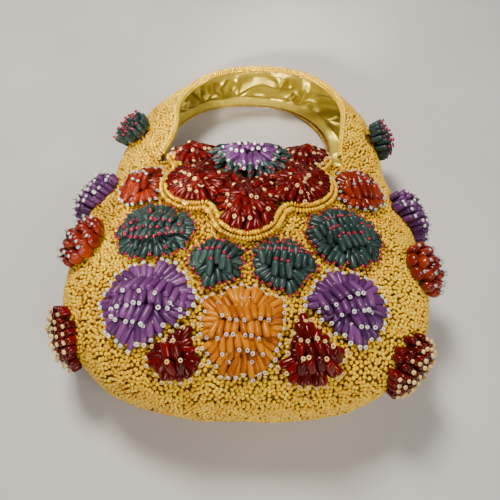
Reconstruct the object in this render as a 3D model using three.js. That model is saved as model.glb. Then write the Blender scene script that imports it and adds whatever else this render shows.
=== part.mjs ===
// Beaded handbag lying on its back: front up, handle towards +Y, mouth closed by a scalloped flap.
// Millimetres, +Z up. Lengths along the bag are measured from its bottom edge and are called along.
import * as THREE from "three";
import { mergeVertices } from "three/addons/utils/BufferGeometryUtils.js";

// Pouch: thickness and half width at stations along the bag, before its bottom end is rounded off
const STATIONS = [
  { along: 0, half: 122, thick: 80 },
  { along: 60, half: 122, thick: 80 },
  { along: 100, half: 122, thick: 78 },
  { along: 146, half: 118, thick: 70 },
  { along: 186, half: 109, thick: 60 },
];
const MOUTH = 186; // where the pouch ends and the handle begins
const BODY_WALL = 3;
const BODY_ROWS = [0, 1.2, 5, 12, 24, 42, 65, 92, 120, 146, 170, MOUTH];
const BODY_COLUMNS = 40;
const WIDE_END = 99; // length over which the outline of the bottom end rounds in
const WIDE_POWER = 2.6;
const THICK_END = 50; // length over which the thickness of the bottom end rounds in
const THICK_POWER = 2.4;
const FRONT_POWER = 2.3; // roundness of the front of a section, 2 being an ellipse
const BACK_POWER = 3;
const BACK_PRESS = 2.5; // how much of the back is pressed flat on what it lies on

// Handle: plan of its outer face from the mouth to the middle of the arch
const HANDLE_PATH = [
  { x: 109, along: 186 },
  { x: 104, along: 222 },
  { x: 94, along: 260 },
  { x: 80, along: 281 },
  { x: 64, along: 295 },
  { x: 45, along: 306 },
  { x: 24, along: 312.5 },
  { x: 0, along: 315 },
];
const HANDLE_LEAN = 12; // the soft band leans over to the right by this much between its back and front edges
const HANDLE_WALL = 2.6;
const HANDLE_WIDTH = 44; // width of the band over the arch
const HANDLE_LIFT = 1.4; // the band's back edge stays clear of what the bag lies on
const HANDLE_FLANGE = 3; // how far the band's edges curl in over the arch
const HANDLE_GRIP = (52.5 * Math.PI) / 180; // share of the pouch section the handle carries on from
const HANDLE_STAY = 20; // length over which the handle keeps the pouch section
const HANDLE_TURN = 160; // length by which the section has turned into a flat band
const HANDLE_SETTLE = 45; // length over which its sections turn from the mouth's plane to square on its path
const HANDLE_ROWS = 33;
const HANDLE_COLUMNS = 9;

// Satin lining of the handle
const LINING_WALL = 0.9;
const LINING_DEPTH = 3.9; // from the outer face of the handle to the back of the lining
const LINING_INSET = 0.95; // share of the handle's half width that is lined
const LINING_DOWN = 26; // how far the lining runs into the mouth
const LINING_ROWS = 37;
const LINING_COLUMNS = 7;
const WRINKLE = 0.35;

// Flap: lobes of its outline round the middle of its flower, angle 270 degrees pointing to the bag's bottom
const FLAP_LOBES = [
  { name: "front", angle: 270, reach: 60, radius: 19 },
  { name: "left", angle: 222, reach: 46, radius: 22 },
  { name: "right", angle: 318, reach: 46, radius: 22 },
  { name: "back_left", angle: 167, reach: 38, radius: 20 },
  { name: "back_right", angle: 13, reach: 38, radius: 20 },
];
const FLAP_MIDDLE = 183.5; // length along the bag to the middle of its flower
const FOLD_START = 178; // where the flap begins to fold over the mouth
const FLAP_CORE = 47; // radius of the cloth between the lobes
const FLAP_STEM = 34; // half width of the strip that runs down to the back panel
const FLAP_GAP = 1;
const FLAP_WALL = 2.4;
const FOLD_RADIUS = 18;
const FOOT_RADIUS = 8;
const FOOT_HEIGHT = 0.4;
const FLAP_SPOKES = 56;
const FLAP_RINGS = 7;
const EDGING_RADIUS = 2.2;
const EDGING_GAP = 0.8;

// Flower in the middle of the flap
const CENTRE_RADIUS = 22.5;
const CENTRE_HEIGHT = 9;
const RING_INNER = 23.1;
const RING_OUTER = 31.5;
const RING_HEIGHT = 7;
const PETAL_INNER = 32.1;
const PETAL_INSET = 0.8;
const PETAL_HEIGHT = 5.5;
const PETAL_ANGLE = (23.5 * Math.PI) / 180;

// Flowers on the front, by their place seen from above
const FRONT_FLOWERS = [
  { name: "purple_left", kind: "purple", x: -55.5, along: 57, radius: 31, height: 12 },
  { name: "purple_right", kind: "purple", x: 59.5, along: 57, radius: 26.5, height: 12 },
  { name: "orange", kind: "orange", x: 0, along: 41, radius: 29.5, height: 13 },
  { name: "dark_red_left", kind: "dark_red", x: -37, along: 31, radius: 20.5, height: 11 },
  { name: "dark_red_right", kind: "dark_red", x: 37.5, along: 31, radius: 22.5, height: 12 },
  { name: "green_left", kind: "green", x: -58.5, along: 108.5, radius: 27.5, height: 12 },
  { name: "green_right", kind: "green", x: 62, along: 106, radius: 26.5, height: 12 },
  { name: "small_green_left", kind: "green", x: -17.5, along: 81, radius: 20.5, height: 11 },
  { name: "small_green_right", kind: "green", x: 22.5, along: 81.5, radius: 22, height: 11 },
  { name: "coral_left", kind: "coral", x: -71.5, along: 152, radius: 19, height: 13 },
  { name: "coral_right", kind: "coral", x: 76, along: 153, radius: 19, height: 13 },
];

// Flowers on the sides: for the left and the right one, how far along the bag it sits and how high
const SIDE_FLOWERS = [
  { kind: "dark_red", left: [47, 43], right: [32, 49], radius: 23, height: 10 },
  { kind: "coral", left: [108, 58], right: [96, 53], radius: 20, height: 13 },
  { kind: "purple", left: [162, 38], right: [150, 38], radius: 22, height: 16 },
  { kind: "green", left: [226, 42], right: [225, 40], radius: 17, height: 15 },
];
const FLOWER_GAP = 1.1;
const SIDE_GAP = 1.6; // the sides curve more, so flat facets need more room over them
const FLOWER_RIBS = 10;
const FLOWER_RINGS = [
  { share: 0, rise: 0.92 },
  { share: 0.36, rise: 1 },
  { share: 0.72, rise: 0.84 },
  { share: 1, rise: 0.32 },
];
const RIB_IN = 0.93; // radius of the grooves against that of the ribs
const RIB_DOWN = 0.86; // height of the grooves against that of the ribs

// Colours and finish
const LOOKS = {
  beads: { color: 0xd9b23c, roughness: 0.35, metalness: 0 },
  satin: { color: 0x9a7f33, roughness: 0.4, metalness: 0 },
  purple: { color: 0x5a4fb0, roughness: 0.25, metalness: 0 },
  green: { color: 0x3f8f80, roughness: 0.3, metalness: 0 },
  orange: { color: 0xd8703a, roughness: 0.25, metalness: 0 },
  coral: { color: 0xd0503f, roughness: 0.2, metalness: 0 },
  dark_red: { color: 0x8f2a24, roughness: 0.2, metalness: 0 },
  red: { color: 0xc03a33, roughness: 0.2, metalness: 0 },
};

// A value of a table between its rows
function between(table, column, at) {
  const places = table.map((row) => row.along);
  const values = table.map((row) => row[column]);
  return new THREE.CubicInterpolant(places, values, 1).evaluate(at)[0];
}

// A closed solid between two faces that share one grid; wraps joins the last column to the first
function slab(rows, columns, wraps, outer, inner) {
  const corners = [];
  const quad = (a, b, c, d) => corners.push(a, b, c, a, c, d);
  const last = wraps ? columns : columns - 1;
  for (let row = 0; row < rows - 1; row++) {
    for (let column = 0; column < last; column++) {
      const next = (column + 1) % columns;
      quad(outer(row, column), outer(row, next), outer(row + 1, next), outer(row + 1, column));
      quad(inner(row + 1, column), inner(row + 1, next), inner(row, next), inner(row, column));
    }
    if (!wraps) {
      quad(inner(row, 0), outer(row, 0), outer(row + 1, 0), inner(row + 1, 0));
      quad(outer(row, last), inner(row, last), inner(row + 1, last), outer(row + 1, last));
    }
  }
  for (let column = 0; column < last; column++) {
    const next = (column + 1) % columns;
    const end = rows - 1;
    quad(inner(0, column), inner(0, next), outer(0, next), outer(0, column));
    quad(outer(end, column), outer(end, next), inner(end, next), inner(end, column));
  }
  const geometry = new THREE.BufferGeometry().setFromPoints(corners);
  return facingOut(withoutSlivers(mergeVertices(geometry, 1e-3)));
}

// Drops the triangles that have shrunk to a line, as at a pole
function withoutSlivers(geometry) {
  const kept = [];
  const index = geometry.index.array;
  for (let i = 0; i < index.length; i += 3) {
    const [a, b, c] = [index[i], index[i + 1], index[i + 2]];
    if (a !== b && b !== c && c !== a) {
      kept.push(a, b, c);
    }
  }
  return geometry.setIndex(kept);
}

// Turns the triangles over where the solid came out with its inside outwards
function facingOut(geometry) {
  const at = geometry.attributes.position;
  const index = geometry.index.array;
  const [a, b, c] = [new THREE.Vector3(), new THREE.Vector3(), new THREE.Vector3()];
  let volume = 0;
  for (let i = 0; i < index.length; i += 3) {
    a.fromBufferAttribute(at, index[i]);
    b.fromBufferAttribute(at, index[i + 1]);
    c.fromBufferAttribute(at, index[i + 2]);
    volume += a.dot(b.cross(c));
  }
  if (volume < 0) {
    geometry.setIndex(Array.from(index).reverse());
  }
  geometry.computeVertexNormals();
  return geometry;
}

const bag = new THREE.Group();
bag.name = "beaded_top_handle_bag";

function add(name, geometry, look) {
  const mesh = new THREE.Mesh(geometry, new THREE.MeshStandardMaterial(LOOKS[look]));
  mesh.name = name;
  bag.add(mesh);
  return mesh;
}

// Pouch
const signedPower = (value, power) => Math.sign(value) * Math.abs(value) ** (2 / power);
const roundEnd = (along, length, power) =>
  along >= length ? 1 : (1 - (1 - along / length) ** power) ** (1 / power);

// A section of the pouch: half width, middle height, and half thickness
function section(along) {
  const half = between(STATIONS, "half", along) * roundEnd(along, WIDE_END, WIDE_POWER);
  const middle = between(STATIONS, "thick", along) / 2;
  return { half, middle, rise: middle * roundEnd(along, THICK_END, THICK_POWER) };
}

// A point of the outer face; turn 0 is the right side, a quarter turn is the front
function bodyPoint(along, turn) {
  const { half, middle, rise } = section(along);
  const power = Math.sin(turn) > 0 ? FRONT_POWER : BACK_POWER;
  const x = half * signedPower(Math.cos(turn), power);
  const raw = middle + rise * signedPower(Math.sin(turn), power);
  const press = Math.sin(turn) < 0 ? -BACK_PRESS * signedPower(Math.sin(turn), power) : 0;
  return new THREE.Vector3(x, along, Math.max(raw - press, 0));
}

// The inner face is the outer one drawn in towards the middle by the wall
function bodyInner(along, turn) {
  const point = bodyPoint(along, turn);
  const { middle } = section(along);
  point.x *= 1 - BODY_WALL / STATIONS[1].half;
  point.y = BODY_WALL + (along * (MOUTH - BODY_WALL)) / MOUTH;
  point.z = middle + (point.z - middle) * (1 - (2 * BODY_WALL) / STATIONS[1].thick);
  return point;
}

const bodyTurn = (column) => (column * 2 * Math.PI) / BODY_COLUMNS;
const body = add(
  "body",
  slab(
    BODY_ROWS.length,
    BODY_COLUMNS,
    true,
    (row, column) => bodyPoint(BODY_ROWS[row], bodyTurn(column)),
    (row, column) => bodyInner(BODY_ROWS[row], bodyTurn(column)),
  ),
  "beads",
);

// Height of the front over a place seen from above
function frontHeight(x, along) {
  const { half, middle, rise } = section(along);
  const share = Math.min(Math.abs(x) / half, 1);
  return middle + rise * (1 - share ** FRONT_POWER) ** (1 / FRONT_POWER);
}

// Handle
const rightHalf = HANDLE_PATH.map(({ x, along }) => new THREE.Vector3(x, along, 0));
const leftHalf = HANDLE_PATH.slice(0, -1).map(({ x, along }) => new THREE.Vector3(-x, along, 0));
const handlePath = new THREE.CatmullRomCurve3([...rightHalf, ...leftHalf.reverse()]);
const handleLength = handlePath.getLength();

// Outer skin of the handle: down is the length from its right foot, across is -1 at the back, 1 at the front
function handlePoint(down, across) {
  const turn = across * HANDLE_GRIP;
  const past = Math.max(-down, down - handleLength);
  if (past > 0) {
    const low = bodyPoint(MOUTH - past, turn);
    low.x *= down > 0 ? -1 : 1;
    return low;
  }
  const share = down / handleLength;
  const foot = bodyPoint(MOUTH, turn);
  const place = handlePath.getPointAt(share);
  const tangent = handlePath.getTangentAt(share);
  const near = Math.min(down, handleLength - down);
  const settle = THREE.MathUtils.smoothstep(near, 0, HANDLE_SETTLE);
  const sideways = THREE.MathUtils.lerp(Math.sign(tangent.y), tangent.y, settle);
  const ahead = tangent.x * settle;
  const blend = THREE.MathUtils.smoothstep(near, HANDLE_STAY, HANDLE_TURN);
  const outFoot = foot.x - STATIONS[STATIONS.length - 1].half;
  const outBand = -HANDLE_FLANGE * Math.abs(across) ** 2.2;
  const out = THREE.MathUtils.lerp(outFoot, outBand, blend);
  const height = THREE.MathUtils.lerp(foot.z, HANDLE_LIFT + (HANDLE_WIDTH / 2) * (1 + across), blend);
  const lean = HANDLE_LEAN * (across / 2 + 0.08) * THREE.MathUtils.smoothstep(place.y, MOUTH, MOUTH + 60);
  return new THREE.Vector3(place.x + sideways * out + lean, place.y - ahead * out, height);
}

// The same skin sunk in along its own normal
function handleDepth(down, across, depth) {
  const step = 0.02;
  const along = handlePoint(down + 1, across).sub(handlePoint(down - 1, across));
  const over = handlePoint(down, across + step).sub(handlePoint(down, across - step));
  return handlePoint(down, across).addScaledVector(over.cross(along).normalize(), depth);
}

const handleDown = (row) => 0.4 + (row * (handleLength - 0.8)) / (HANDLE_ROWS - 1);
const handleAcross = (column) => -1 + (2 * column) / (HANDLE_COLUMNS - 1);
const handleFoot = (row) => row === 0 || row === HANDLE_ROWS - 1;

// Both faces of the handle end level with the mouth of the pouch
function handleFace(row, column, depth) {
  const point = handleDepth(handleDown(row), handleAcross(column), depth);
  if (handleFoot(row)) {
    point.y = MOUTH + 0.4;
  }
  return point;
}
const handle = add(
  "handle",
  slab(
    HANDLE_ROWS,
    HANDLE_COLUMNS,
    false,
    (row, column) => handleFace(row, column, 0),
    (row, column) => handleFace(row, column, HANDLE_WALL),
  ),
  "beads",
);

// Satin lining of the handle, with shallow wrinkles on the face that shows
const liningDown = (row) => -LINING_DOWN + (row * (handleLength + 2 * LINING_DOWN)) / (LINING_ROWS - 1);
const liningAcross = (column) => LINING_INSET * (-1 + (2 * column) / (LINING_COLUMNS - 1));
const wrinkle = (row, column) => WRINKLE * (1 + Math.sin(row * 1.9 + column * 0.8));
add(
  "handle_lining",
  slab(
    LINING_ROWS,
    LINING_COLUMNS,
    false,
    (row, column) => handleDepth(liningDown(row), liningAcross(column), LINING_DEPTH),
    (row, column) =>
      handleDepth(liningDown(row), liningAcross(column), LINING_DEPTH + LINING_WALL + wrinkle(row, column)),
  ),
  "satin",
);

// Flap: the profile of its fold over the mouth and down to the back panel
const crest = frontHeight(0, FOLD_START) + FLAP_GAP;
const foldBack = FOLD_START + FOLD_RADIUS;
const footLevel = FOOT_HEIGHT + FLAP_WALL;
const fold = new THREE.Path();
fold.moveTo(FOLD_START, crest);
fold.absarc(FOLD_START, crest - FOLD_RADIUS, FOLD_RADIUS, Math.PI / 2, 0, true);
fold.lineTo(foldBack, footLevel + FOOT_RADIUS);
fold.absarc(foldBack - FOOT_RADIUS, footLevel + FOOT_RADIUS, FOOT_RADIUS, 0, -Math.PI / 2, true);
fold.lineTo(MOUTH + FLAP_GAP, footLevel);
const foldLength = fold.getLength();
const flapEnd = FOLD_START - FLAP_MIDDLE + foldLength;

// The underside of the flap; x is across the bag, run is the length past the middle of the flower
function flapUnder(x, run) {
  const along = FLAP_MIDDLE + run;
  if (along <= FOLD_START) {
    return new THREE.Vector3(x, along, frontHeight(x, along) + FLAP_GAP);
  }
  const point = fold.getPointAt(Math.min((along - FOLD_START) / foldLength, 1));
  const drop = (frontHeight(x, FOLD_START) + FLAP_GAP) / crest;
  return new THREE.Vector3(x, point.x, point.y * drop);
}

// A point lifted off the underside of the flap along its normal
function flapPoint(x, run, lift) {
  const step = 0.6;
  const over = flapUnder(x + step, run).sub(flapUnder(x - step, run));
  const ahead = flapUnder(x, Math.min(run + step, flapEnd)).sub(flapUnder(x, run - step));
  return flapUnder(x, run).addScaledVector(over.cross(ahead).normalize(), lift);
}
const flapPolar = (angle, radius, lift) =>
  flapPoint(radius * Math.cos(angle), radius * Math.sin(angle), lift);

// Radius of the flap's outline at an angle; grow widens every lobe
function flapOutline(angle, grow) {
  let radius = FLAP_CORE + grow;
  for (const lobe of FLAP_LOBES) {
    const off = angle - THREE.MathUtils.degToRad(lobe.angle);
    const inside = (lobe.radius + grow) ** 2 - (lobe.reach * Math.sin(off)) ** 2;
    if (inside > 0 && Math.cos(off) > 0) {
      radius = Math.max(radius, lobe.reach * Math.cos(off) + Math.sqrt(inside));
    }
  }
  if (Math.sin(angle) > 0) {
    const side = (FLAP_STEM + grow) / Math.max(Math.abs(Math.cos(angle)), 1e-6);
    radius = Math.max(radius, Math.min(flapEnd / Math.sin(angle), side));
  }
  return radius;
}

const flapAngle = (column) => (column * 2 * Math.PI) / FLAP_SPOKES;
const flapFace = (lift) => (row, column) => {
  const angle = flapAngle(column);
  return flapPolar(angle, (flapOutline(angle, 0) * row) / (FLAP_RINGS - 1), lift);
};
const flap = add("flap", slab(FLAP_RINGS, FLAP_SPOKES, true, flapFace(FLAP_WALL), flapFace(0)), "beads");

// Edging: a tube round the lobes, from one side of the strip at the back to the other
const EDGING_TURNS = 5; // spokes of the flap past its widest line at which the tube ends
const edgingPoints = [];
for (let spoke = FLAP_SPOKES / 2 - EDGING_TURNS; spoke <= FLAP_SPOKES + EDGING_TURNS; spoke++) {
  const angle = flapAngle(spoke);
  edgingPoints.push(flapPolar(angle, flapOutline(angle, EDGING_RADIUS + EDGING_GAP), EDGING_RADIUS));
}
const edgingShape = new THREE.Shape().absarc(0, 0, EDGING_RADIUS, 0, 2 * Math.PI);
const edgingTube = new THREE.ExtrudeGeometry(edgingShape, {
  steps: 52,
  curveSegments: 4,
  extrudePath: new THREE.CatmullRomCurve3(edgingPoints),
});
add("flap_edging", edgingTube, "beads");

// Flower in the middle of the flap
const flowerLift = FLAP_WALL + FLOWER_GAP;
const spokes = 2 * FLOWER_RIBS;
const spokeAngle = (column) => (column * 2 * Math.PI) / spokes;
const ribbed = (column, low) => (column % 2 === 0 ? 1 : low);

add(
  "flap_centre",
  slab(
    FLOWER_RINGS.length,
    spokes,
    true,
    (row, column) => {
      const { share, rise } = FLOWER_RINGS[row];
      const height = CENTRE_HEIGHT * rise * (row > 0 ? ribbed(column, RIB_DOWN) : 1);
      const radius = CENTRE_RADIUS * share * ribbed(column, RIB_IN);
      return flapPolar(spokeAngle(column), radius, flowerLift + height);
    },
    (row, column) => {
      const radius = CENTRE_RADIUS * FLOWER_RINGS[row].share * ribbed(column, RIB_IN);
      return flapPolar(spokeAngle(column), radius, flowerLift);
    },
  ),
  "purple",
);

const RING_ROWS = [
  { share: 0, rise: 0.7 },
  { share: 0.45, rise: 1 },
  { share: 1, rise: 0.4 },
];
const ringRadius = (row, column) => {
  const outer = RING_OUTER * ribbed(column, RIB_IN);
  return THREE.MathUtils.lerp(RING_INNER, outer, RING_ROWS[row].share);
};
add(
  "flap_ring",
  slab(
    RING_ROWS.length,
    spokes,
    true,
    (row, column) => {
      const height = RING_HEIGHT * RING_ROWS[row].rise * ribbed(column, RIB_DOWN);
      return flapPolar(spokeAngle(column), ringRadius(row, column), flowerLift + height);
    },
    (row, column) => flapPolar(spokeAngle(column), ringRadius(row, column), flowerLift),
  ),
  "green",
);

// Petals: one on each lobe, ribbed lengthwise
const PETAL_ROWS = [
  { share: 0, rise: 0.7 },
  { share: 0.4, rise: 1 },
  { share: 0.8, rise: 0.8 },
  { share: 1, rise: 0.35 },
];
const PETAL_COLUMNS = 9;
for (const lobe of FLAP_LOBES) {
  const middle = THREE.MathUtils.degToRad(lobe.angle);
  const place = (row, column, lift) => {
    const aside = -1 + (2 * column) / (PETAL_COLUMNS - 1);
    const angle = middle + aside * PETAL_ANGLE;
    const rounded = lobe.reach + lobe.radius * Math.sqrt(1 - 0.7 * aside ** 2) - PETAL_INSET;
    const far = Math.min(flapOutline(angle, 0) - PETAL_INSET, rounded);
    return flapPolar(angle, THREE.MathUtils.lerp(PETAL_INNER, far, PETAL_ROWS[row].share), lift);
  };
  const height = (row, column) => {
    const aside = -1 + (2 * column) / (PETAL_COLUMNS - 1);
    return PETAL_HEIGHT * PETAL_ROWS[row].rise * ribbed(column, RIB_DOWN) * (1 - 0.55 * aside ** 4);
  };
  add(
    "flap_petal_" + lobe.name,
    slab(
      PETAL_ROWS.length,
      PETAL_COLUMNS,
      false,
      (row, column) => place(row, column, flowerLift + height(row, column)),
      (row, column) => place(row, column, flowerLift),
    ),
    "red",
  );
}

// Flowers on the pouch and the handle: each stands on the face it is sewn to
const caster = new THREE.Raycaster();

function meet(mesh, from, towards) {
  mesh.updateMatrixWorld();
  caster.set(from, towards);
  return caster.intersectObject(mesh)[0];
}

function bloom(mesh, from, towards, reach, height, gap) {
  const seat = meet(mesh, from, towards);
  const axis = seat.face.normal.clone();
  const side = new THREE.Vector3(0, 1, 0).cross(axis).normalize();
  const up = axis.clone().cross(side);
  const stand = (row, column, lift) => {
    const angle = spokeAngle(column);
    const radius = reach(angle) * FLOWER_RINGS[row].share * ribbed(column, RIB_IN);
    const start = seat.point.clone().addScaledVector(axis, 60);
    start.addScaledVector(side, radius * Math.cos(angle));
    start.addScaledVector(up, radius * Math.sin(angle));
    const hit = meet(mesh, start, axis.clone().negate());
    return start.addScaledVector(axis, gap + lift - hit.distance);
  };
  return slab(
    FLOWER_RINGS.length,
    spokes,
    true,
    (row, column) => {
      const low = row > 0 ? ribbed(column, RIB_DOWN) : 1;
      return stand(row, column, height * FLOWER_RINGS[row].rise * low);
    },
    (row, column) => stand(row, column, 0),
  );
}

// Rounds of the flap's lobes with their edging, seen from above
const lobeRounds = FLAP_LOBES.map((lobe) => ({
  x: lobe.reach * Math.cos(THREE.MathUtils.degToRad(lobe.angle)),
  along: FLAP_MIDDLE + lobe.reach * Math.sin(THREE.MathUtils.degToRad(lobe.angle)),
  radius: lobe.radius + EDGING_GAP + 2 * EDGING_RADIUS,
}));

// Neighbours on the front press against each other along a straight line, so none runs into the next,
// and all of them stop at the edging of the flap
function pressed(flower, angle) {
  let radius = flower.radius;
  const hold = (other, line) => {
    const facing = Math.cos(angle - Math.atan2(other.along - flower.along, other.x - flower.x));
    if (facing > 0.1) {
      radius = Math.min(radius, (line - FLOWER_GAP) / facing);
    }
  };
  const apart = (other) => Math.hypot(other.x - flower.x, other.along - flower.along);
  for (const other of FRONT_FLOWERS) {
    if (other !== flower) {
      hold(other, (apart(other) ** 2 + flower.radius ** 2 - other.radius ** 2) / (2 * apart(other)));
    }
  }
  for (const lobe of lobeRounds) {
    hold(lobe, apart(lobe) - lobe.radius);
  }
  return radius;
}

for (const flower of FRONT_FLOWERS) {
  const from = new THREE.Vector3(flower.x, flower.along, 200);
  const reach = (angle) => pressed(flower, angle);
  const geometry = bloom(body, from, new THREE.Vector3(0, 0, -1), reach, flower.height, FLOWER_GAP);
  add("flower_" + flower.name, geometry, flower.kind);
}

for (const flower of SIDE_FLOWERS) {
  for (const [name, hand] of [["left", -1], ["right", 1]]) {
    const [along, level] = flower[name];
    const from = new THREE.Vector3(hand * 200, along, level);
    const mesh = along > MOUTH ? handle : body;
    const towards = new THREE.Vector3(-hand, 0, 0);
    const geometry = bloom(mesh, from, towards, () => flower.radius, flower.height, SIDE_GAP);
    add("side_" + flower.kind + "_" + name, geometry, flower.kind);
  }
}

// The bag is centred over the origin and rests on z = 0
const extent = new THREE.Box3().setFromObject(bag);
const middle = extent.getCenter(new THREE.Vector3());
bag.position.set(-middle.x, -middle.y, -extent.min.z);

export default bag;
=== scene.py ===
"""Looks of the beaded bag: cloth, seed beads, bead flowers, satin lining, floor, light and camera."""

import math

import bpy
import numpy as np
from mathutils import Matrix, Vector, noise
from mathutils.bvhtree import BVHTree


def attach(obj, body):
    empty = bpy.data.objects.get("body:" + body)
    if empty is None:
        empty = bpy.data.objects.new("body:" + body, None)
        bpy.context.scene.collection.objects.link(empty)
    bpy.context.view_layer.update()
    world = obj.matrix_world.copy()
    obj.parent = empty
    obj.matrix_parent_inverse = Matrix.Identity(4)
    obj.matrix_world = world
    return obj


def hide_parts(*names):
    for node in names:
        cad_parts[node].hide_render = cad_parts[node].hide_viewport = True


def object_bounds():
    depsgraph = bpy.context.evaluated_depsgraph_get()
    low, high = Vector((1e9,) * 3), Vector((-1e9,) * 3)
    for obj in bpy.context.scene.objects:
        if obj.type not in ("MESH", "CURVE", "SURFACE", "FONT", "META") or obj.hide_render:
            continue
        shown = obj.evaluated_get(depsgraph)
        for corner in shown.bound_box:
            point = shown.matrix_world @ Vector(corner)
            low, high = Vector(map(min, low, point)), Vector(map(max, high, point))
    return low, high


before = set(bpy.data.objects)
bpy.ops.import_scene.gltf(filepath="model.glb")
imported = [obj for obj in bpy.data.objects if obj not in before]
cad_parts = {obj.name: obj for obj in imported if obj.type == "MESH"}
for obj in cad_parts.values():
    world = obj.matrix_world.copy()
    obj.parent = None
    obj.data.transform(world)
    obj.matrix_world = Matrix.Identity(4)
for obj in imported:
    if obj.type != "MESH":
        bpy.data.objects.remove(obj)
cad_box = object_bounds()
rng = np.random.default_rng(41)

MM = 0.001


def both(*kinds):
    """Names of flowers or petals that come in pairs."""
    return [kind + end for kind in kinds for end in ("_left", "_right")]


FLOWERS = [*both("purple"), "orange", *both("dark_red", "green", "small_green", "coral")]
SIDES = both("dark_red", "coral", "purple", "green")
PETALS = ["front", "left", "right", *both("back")]

# Oblong beads of each flower and their tip beads: sizes in millimetres, flat is thickness over width
STALKS = {
    "purple": {"length": 12.0, "radius": 2.4, "tip": 1.38},
    "orange": {"length": 11.0, "radius": 2.15, "tip": 1.25},
    "green": {"length": 9.5, "radius": 2.3, "tip": 1.15},
    "coral": {"length": 11.0, "radius": 2.7, "tip": 1.2},
    "side_coral": {"length": 13.0, "radius": 5.0, "flat": 0.6, "tip": 1.15},
    "dark_red": {"length": 10.5, "radius": 2.8, "tip": 1.4},
    "red": {"length": 10.0, "radius": 2.6, "tip": 1.45},
}

# How the stalks of a flower lie
RING_PITCH = 1.8  # from stalk to stalk round the outline, in radii
RING_PATH = 0.3  # measured this share of a stalk's length inside it
TIP_ROOM = 1.3  # left for a tip bead within the outline, in its radii
ODD_BACK = 0.1  # every other stalk of a ring lies further in by this share of its length
ODD_HIGH = 0.35  # and higher by this many radii
BASE_HIGH = 0.9 * MM  # how much higher a ring's stalk begins than it ends
ROWS_PITCH = 1.86  # side by side in the rows over the middle, in radii
ROWS_STEP = 0.79  # from row to row, as a share of a stalk's length
TUFT_PITCH = 1.9  # from circle to circle of standing stalks, in radii
TUFT_TIPPED = 0.75  # share of the standing stalks with a tip bead
TUFT_DRAWN = 0.9  # share of their distance from the middle that their feet keep
SIDE_BARE = 0.5  # share of a side flower's reach without seed beads under it
FRONT_BARE = 0.8
PAD_WIDTH = 0.7  # of the dark cloth pad under the beads, painted shade for the gaps between them, over the solid's width
PAD_SUNK = 0.64  # share of the solid's height by which the pad is lower
SIDE_PAD_SUNK = 0.92
BIG_FLOWER = 22 * MM  # mean reach above which there is a second ring of stalks
BROAD_FLOWER = 24 * MM  # and from which the rows stay further from the outline
BLOOM_DEPTH = 20 * MM  # of the ground under a flower
REACH_STEPS = 73  # angles at which a flower's reach is known
OUTLINE_WINDOW = math.radians(11)  # within which its points count for such an angle
RING_WINDOW = math.radians(5)
FALL = 0.5  # slope of the ground past the carrier's edge
EDGE_DROP = 3 * MM

# Reading the solids
SAME_POINT = 4e-6  # points this near are one, in metres
SHARP_EDGE = 0.55  # cosine of the turn between facets that ends a skin
FACET_BULGE = 0.75  # share of the way from flat facets to round ones
TREE_PARTS = 2  # parts a side of each facet in search trees
SHELL_PARTS = 3  # and in the cloth shells
RAY_START = 30 * MM  # height at which rays begin, and how far they go
RAY_LENGTH = 70 * MM
TUFT_RAY_START = 50 * MM
TUFT_RAY_LENGTH = 80 * MM

# Cloth under the beads
CLOTH_DEPTH = 2.2 * MM
CLOTH_WALL = 1.0 * MM
FLAP_WALL = 0.5 * MM
PRESS = 1.1 * MM  # depth of its soft unevenness
PRESS_FROM = 6 * MM  # height over the table where the unevenness begins
PRESS_FADE = 12 * MM

# Yellow seed beads
SEED_RADIUS = 1.36 * MM
SEED_LENGTH = 2.42 * MM
SEED_GAP = 2.02 * MM
SEED_DEPTH = 1.1 * MM  # of a bead's middle under the outer face
SEED_SHADE = 0.8  # painted shade: how much darker the undersides of the seed beads are coloured
STALK_SHADE = 0.6  # and those of the oblong beads
CROWDING = 14  # places tried for each bead that would fit
BATCH = 6000
FIELD_MARGIN = 20 * MM
FIELD_ROOM = 80000  # beads that the field can hold
LOWER_HALF = -60 * MM  # y below which the pouch's beads are pieces of their own
ROW_STEP = 2.25 * MM  # from bead to bead along the edges
FREE_EDGE = 1.2 * MM  # distance from the next piece above which an edge is free

# Double string of beads round the flap
EDGING_RADIUS = 2.2 * MM
EDGING_STEP = 1.95 * MM
EDGING_BINS = 90
EDGING_STRINGS = ((-1.7 * MM, 1.7 * MM), (2.0 * MM, 0.1 * MM))  # out from the tube's middle line, and up
EDGING_NEAR = 11 * MM  # the flap's edge has no row of its own this near the edging
OFF_TABLE = 4 * MM  # or below this height

# What hides the seed beads of the flap and pouch
ROSETTE_RADIUS = 35 * MM  # of the flap flower's middle part
ROSETTE_HEIGHT = 12 * MM  # of its solids over the flap
FLAP_HEIGHT = 5 * MM  # of the flap over the pouch
FLAP_LOW = -50 * MM  # y above which the flap lies
FLAP_SIDE = 75 * MM  # and how far it reaches to each side at most

# Satin lining
SATIN_PARTS = 10  # each CAD triangle is cut into this many parts a side
SATIN_CREASE = 7 * MM
SATIN_WALL = 0.5 * MM
CREASE_FADE = 7 * MM  # from the edge to where the creases are at full height
FRONT_HEM = 2 * MM  # half the width of the turned hem along the front edge
FRONT_LIFT = 0.9 * MM
BACK_HEM = 9 * MM  # width of the raised band along the lining's back edge, coloured lighter as painted light
BACK_LIFT = 1.1 * MM
BACK_CREASE = 1.2 * MM
ARCH_MIDDLE = np.array([0, 75, 24]) * MM  # of the handle
ARCH_RADIUS = 110 * MM
EDGE_PARTS = 8  # points along each side of the lining's edge
NEAR_BATCHES = 60
BEND_SHIFTS = ((9, 1, 3), (2, 7, 5), (4, 6, 8))  # places in the noise that bends the creases


def unit(v):
    """Vectors at length one."""
    return v / np.maximum(np.linalg.norm(v, axis=-1, keepdims=True), 1e-12)


# Surfaces taken from the CAD nodes


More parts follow.
